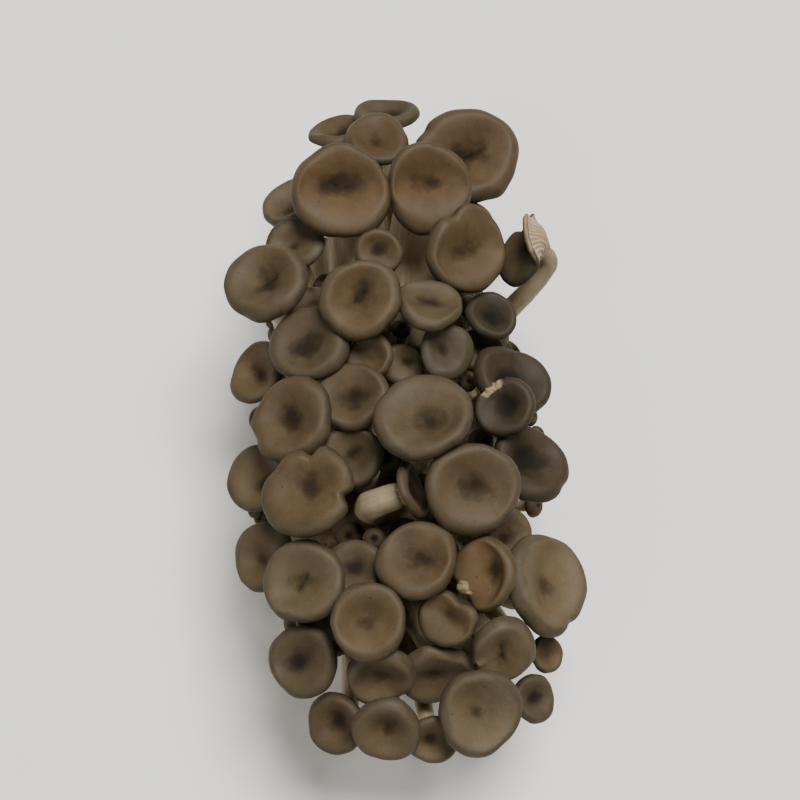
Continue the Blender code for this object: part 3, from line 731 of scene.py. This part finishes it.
# Painted shade: each crack is darkened along its length, as shade inside it.
slit_painted_shade = add(tree, "ShaderNodeMapRange", {
    "Value": read["slit"], "From Min": 0.3, "From Max": 1.0, "To Min": 1.0, "To Max": 0.55})
light = ray_light
for other_light in (tone_light, grain_light, cloud_light, speck_light, slit_painted_shade):
    light = add(tree, "ShaderNodeMath", {0: light.outputs[0], 1: other_light.outputs[0]},
                operation="MULTIPLY")
shade = add(tree, "ShaderNodeCombineXYZ", {axis: light.outputs[0] for axis in "XYZ"})
shaded_skin = add(tree, "ShaderNodeMix", {0: 1.0, 6: skin_hue.outputs[2], 7: shade.outputs[0]},
                  data_type="RGBA", blend_type="MULTIPLY")

# Bare flesh shows along the torn edges.
tear_edge = add(tree, "ShaderNodeMath", {0: blotch.outputs[0], 1: 1.5, 2: read["torn"]},
                operation="MULTIPLY_ADD")
tear_share = add(tree, "ShaderNodeMapRange", {
    "Value": tear_edge.outputs[0], "From Min": 0.4, "From Max": 0.75, "To Min": 0.0,
    "To Max": 1.0})
skin_colour = add(tree, "ShaderNodeMix", {
    0: tear_share.outputs[0], 6: shaded_skin.outputs[2], 7: linear("#7d6d54")},
    data_type="RGBA", blend_type="MIX")
tree.links.new(skin_colour.outputs[2], shader.inputs["Base Color"])

# The grain and the fibres stand up a little. The hollow is drier than the rim, and less glossy.
skin_relief = add(tree, "ShaderNodeMath", {
    0: ray_share.outputs[0], 1: 0.45, 2: grain.outputs["Fac"]}, operation="MULTIPLY_ADD")
skin_bump = add(tree, "ShaderNodeBump", {
    "Height": skin_relief.outputs[0], "Strength": 0.5, "Distance": 0.06 * MM})
tree.links.new(skin_bump.outputs[0], shader.inputs["Normal"])
dry_hollow = add(tree, "ShaderNodeMapRange", {
    "Value": read["share"], "From Min": 0.15, "From Max": 0.6, "To Min": 0.72, "To Max": 0.44})
gloss = add(tree, "ShaderNodeMath", {
    0: clouds.outputs["Fac"], 1: 0.25, 2: dry_hollow.outputs[0]}, operation="MULTIPLY_ADD")
tree.links.new(gloss.outputs[0], shader.inputs["Roughness"])
shader.inputs["IOR"].default_value = 1.36
shader.inputs["Specular IOR Level"].default_value = 0.25
shader.inputs["Subsurface Weight"].default_value = 0.08
shader.inputs["Subsurface Radius"].default_value = (1.0, 0.55, 0.3)
shader.inputs["Subsurface Scale"].default_value = 0.9 * MM

# Gill flesh: thin dry blades, cream at their edges, with painted shade greying the valleys where
# they meet.
GILL_CLOUD = 3  # mm across a darker patch
gill_flesh, tree, shader = new_material("gill_flesh")
blade = add(tree, "ShaderNodeAttribute", attribute_name="blade").outputs["Fac"]
where = add(tree, "ShaderNodeTexCoord").outputs["Object"]
clouds = add(tree, "ShaderNodeTexNoise",
             {"Vector": where, "Scale": 1 / (GILL_CLOUD * MM), "Detail": 4.0, "Roughness": 0.55})
# Painted shade: the valleys between the blades are darker than the blade edges, as shade between
# them.
blades_and_painted_valley_shade = add(tree, "ShaderNodeMix", {0: blade, 6: linear("#7f6f53"), 7: linear("#a19274")},
                   data_type="RGBA", blend_type="MIX")
cloud_share = add(tree, "ShaderNodeMapRange", {
    "Value": clouds.outputs["Fac"], "From Min": 0.4, "From Max": 0.7, "To Min": 0.0,
    "To Max": 0.45})
gill_colour = add(tree, "ShaderNodeMix", {
    0: cloud_share.outputs[0], 6: blades_and_painted_valley_shade.outputs[2], 7: linear("#84704c")},
    data_type="RGBA", blend_type="MIX")
tree.links.new(gill_colour.outputs[2], shader.inputs["Base Color"])
shader.inputs["Roughness"].default_value = 0.65
shader.inputs["Subsurface Weight"].default_value = 0.15
shader.inputs["Subsurface Radius"].default_value = (1.0, 0.7, 0.45)
shader.inputs["Subsurface Scale"].default_value = 0.8 * MM

for head in heads:
    piece = cap_piece(head)
    piece.data.materials.append(moist_skin)
    piece.data.materials.append(gill_flesh)
    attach(piece, "root")
    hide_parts(head.node)

# THE YOUNG MUSHROOMS
# Pinheads, the young mushrooms that stopped growing when the others outgrew them. Each is a
# dark dome with a dimple on a short stalk, sunk into the butt between the grown stems.

PINHEADS = 110
PIN_SMALLEST, PIN_LARGEST = 1.9 * MM, 3.9 * MM  # radius
PIN_LEAST_RISE, PIN_MOST_RISE = 2 * MM, 17 * MM  # over the butt, at its sides and in its middle
PIN_SIDES, PIN_RINGS = 18, 18
PIN_SECTION = (
    (0.0, -0.14), (0.18, -0.08), (0.45, 0.0), (0.72, -0.1), (0.92, -0.32), (1.0, -0.58),
    (0.95, -0.76), (0.76, -0.74), (0.55, -0.76), (0.47, -0.95), (0.48, -1.5), (0.6, -2.0))
PIN_EDGE = 0.76  # down to here, in radii, a pinhead has skin, and under it bare flesh
PIN_STALK = 0.95  # from here down the stalk is drawn out to reach the butt
PIN_SUNK = 3 * MM  # how deep it goes into the butt
PIN_ZONE = 0.8  # they grow on this share of the mound, from its top down
PIN_UPWARD = 0.45  # how much they turn up from straight out of the mound
PIN_HEAD = 0.4  # how far below the top the middle of the head is, in radii
PIN_ROOM, PIN_GAP = 1.15, 0.4 * MM  # in radii, and past that, how far it keeps from a cap
PIN_TONES = (-0.9, 0.0)  # as for the caps
PIN_TRIES = 9000
PIN_FIBRE_SCALE = 3  # mm for each radius in the fibre pattern
PIN_FLESH = 0.8  # its stalk has the colour of a stem at this share of the stem's height


def clear_of_all(place, radius, pins):
    """Whether a pinhead of this radius has room here among the caps, stems and other pinheads."""
    if canopy.find_nearest(place)[3] < radius * PIN_ROOM + PIN_GAP:
        return False
    for _, index, distance in near.find_n(place, 8):
        if distance < radius + stem_radius(*divmod(index, STEM_RINGS)):
            return False
    return all((place - pin[0]).length > radius + pin[2] for pin in pins)


cap_points, cap_faces = [], []
for head in heads:
    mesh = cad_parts[head.node].data
    cap_faces += [[len(cap_points) + n for n in face.vertices] for face in mesh.polygons]
    cap_points += [vert.co.copy() for vert in mesh.vertices]
canopy = BVHTree.FromPolygons(cap_points, cap_faces)
draw = random.Random("pinheads")
pins = []
for _ in range(PIN_TRIES):
    if len(pins) == PINHEADS:
        break
    m, turn = draw.uniform(1, BUTT_RINGS * PIN_ZONE), draw.uniform(0, 2 * math.pi)
    r, z = (np.interp(m, range(BUTT_RINGS + 1), butt_line[:, n]) for n in (0, 1))
    radius = draw.uniform(PIN_SMALLEST, PIN_LARGEST)
    rise = draw.uniform(PIN_LEAST_RISE, np.interp(
        z, (0, BUTT_HEIGHT), (PIN_LEAST_RISE, PIN_MOST_RISE)))
    out = Vector((math.cos(turn) * r, math.sin(turn) * r, 0.4 + 1.2 * (1 - r)))
    out = (out.normalized() + Vector((0, 0, PIN_UPWARD))).normalized()
    ground = Vector((math.cos(turn) * r * BUTT_HALF_X, math.sin(turn) * r * BUTT_HALF_Y, z))
    place = BUTT_MIDDLE + ground + out * (rise + radius)
    if clear_of_all(place - out * radius * PIN_HEAD, radius, pins):
        pins.append((place, out, radius, rise, draw.uniform(*PIN_TONES)))

section = through(PIN_SECTION, PIN_RINGS + 1)[1:]
angle = np.linspace(0, 2 * math.pi, PIN_SIDES, endpoint=False)[None, :]
unit = np.stack([section[:, :1] * np.cos(angle), section[:, :1] * np.sin(angle),
                 section[:, 1:] + 0 * angle], -1).reshape(-1, 3)
unit = np.vstack([unit, [(0, 0, PIN_SECTION[0][1])]])
pin_faces = turned_over(ring_faces(PIN_RINGS, PIN_SIDES))
pin_faces += [[PIN_SIDES * PIN_RINGS, n, (n + 1) % PIN_SIDES] for n in range(PIN_SIDES)]
pin_faces.append(list(range(PIN_SIDES * PIN_RINGS - 1, PIN_SIDES * (PIN_RINGS - 1) - 1, -1)))
bare_flesh = [min(unit[n, 2] for n in face) < -PIN_EDGE for face in pin_faces]
points, faces = [], []
for place, out, radius, rise, tone in pins:
    one = unit.copy()
    one[:, 2] += np.minimum(unit[:, 2] + PIN_STALK, 0) * ((rise + PIN_SUNK) / radius - 1)
    turn = np.array(Vector((0, 0, 1)).rotation_difference(out).to_matrix())
    faces += [[len(points) * len(unit) + n for n in face] for face in pin_faces]
    points.append(one * radius @ turn.T + np.array(place))
young = mesh_of("young_mushrooms", np.vstack(points), faces)
young.data.polygons.foreach_set("material_index", np.tile(bare_flesh, len(pins)).astype(np.int32))
for name, values in (
        ("share", np.append(np.repeat(section[:, 0], PIN_SIDES), 0)),
        ("across", unit[:, 0] * PIN_FIBRE_SCALE), ("around", unit[:, 1] * PIN_FIBRE_SCALE),
        ("along", unit[:, 2] * PIN_FIBRE_SCALE), ("rise", np.full(len(unit), PIN_FLESH)),
        ("ray_x", unit[:, 0]), ("ray_y", unit[:, 1])):
    mark(young.data, name, np.tile(values, len(pins)))
mark(young.data, "tone", np.repeat([pin[-1] for pin in pins], len(unit)))
young.data.materials.append(moist_skin)
young.data.materials.append(fresh_flesh)
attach(young, "root")
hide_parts("stems_and_butt")

# THE TABLE AND THE LIGHT
# A plain pale table top. A broad soft light stands over the cluster and a little behind it, a
# weaker one in front to the left, and an even pale surround lifts the shadows.

TABLE_HALF = 2.0
floor = mesh_of("floor", [(-TABLE_HALF, -TABLE_HALF, 0), (TABLE_HALF, -TABLE_HALF, 0),
                          (TABLE_HALF, TABLE_HALF, 0), (-TABLE_HALF, TABLE_HALF, 0)],
                [(0, 1, 2, 3)])
# Matt laminate, off-white and smooth: it takes soft shadows and gives no reflections.
matt_laminate, tree, shader = new_material("matt_laminate")
shader.inputs["Base Color"].default_value = linear("#d8d6d0")
shader.inputs["Roughness"].default_value = 0.7
floor.data.materials.append(matt_laminate)

world = bpy.data.worlds.new("soft_room")
world.use_nodes = True
world.node_tree.nodes["Background"].inputs["Color"].default_value = linear("#eeece9")
world.node_tree.nodes["Background"].inputs["Strength"].default_value = 0.26
bpy.context.scene.world = world


def softbox(name, place, size, power):
    """A round soft light that shines on the middle of the table."""
    data = bpy.data.lights.new(name, "AREA")
    data.shape = "DISK"
    data.size = size
    data.energy = power
    lamp = bpy.data.objects.new(name, data)
    bpy.context.scene.collection.objects.link(lamp)
    lamp.location = place
    lamp.rotation_mode = "QUATERNION"
    lamp.rotation_quaternion = Vector(place).to_track_quat("Z", "Y")


softbox("window_light", (0.31, 0.5, 1.93), 1.24, 85)
softbox("fill_light", (-1.05, -1.2, 1.35), 1.5, 16)

# THE CAMERA
# Where the photograph was taken from: 355 mm away, looking down at 69 degrees, with the
# cluster to the right of the middle. Here it is turned to bring the cluster to the middle.

ELEVATION = math.radians(69)
DISTANCE = 355 * MM
AIM_THEN = Vector((-36.7, -12.1, 50)) * MM  # the point that the photograph's middle shows
AIM_NOW = Vector((0, -1, 38)) * MM
SENSOR_WIDTH, LENS = 36, 78  # mm
looking = Vector((0, math.cos(ELEVATION), -math.sin(ELEVATION)))
camera = bpy.data.objects.new("camera", bpy.data.cameras.new("camera"))
bpy.context.scene.collection.objects.link(camera)
camera.location = AIM_THEN - looking * DISTANCE
turned = looking.rotation_difference(AIM_NOW - camera.location)
camera.rotation_mode = "QUATERNION"
camera.rotation_quaternion = turned @ looking.to_track_quat("-Z", "Y")
camera.data.sensor_width = SENSOR_WIDTH
camera.data.lens = LENS
camera.data.clip_start = 0.01
bpy.context.scene.camera = camera
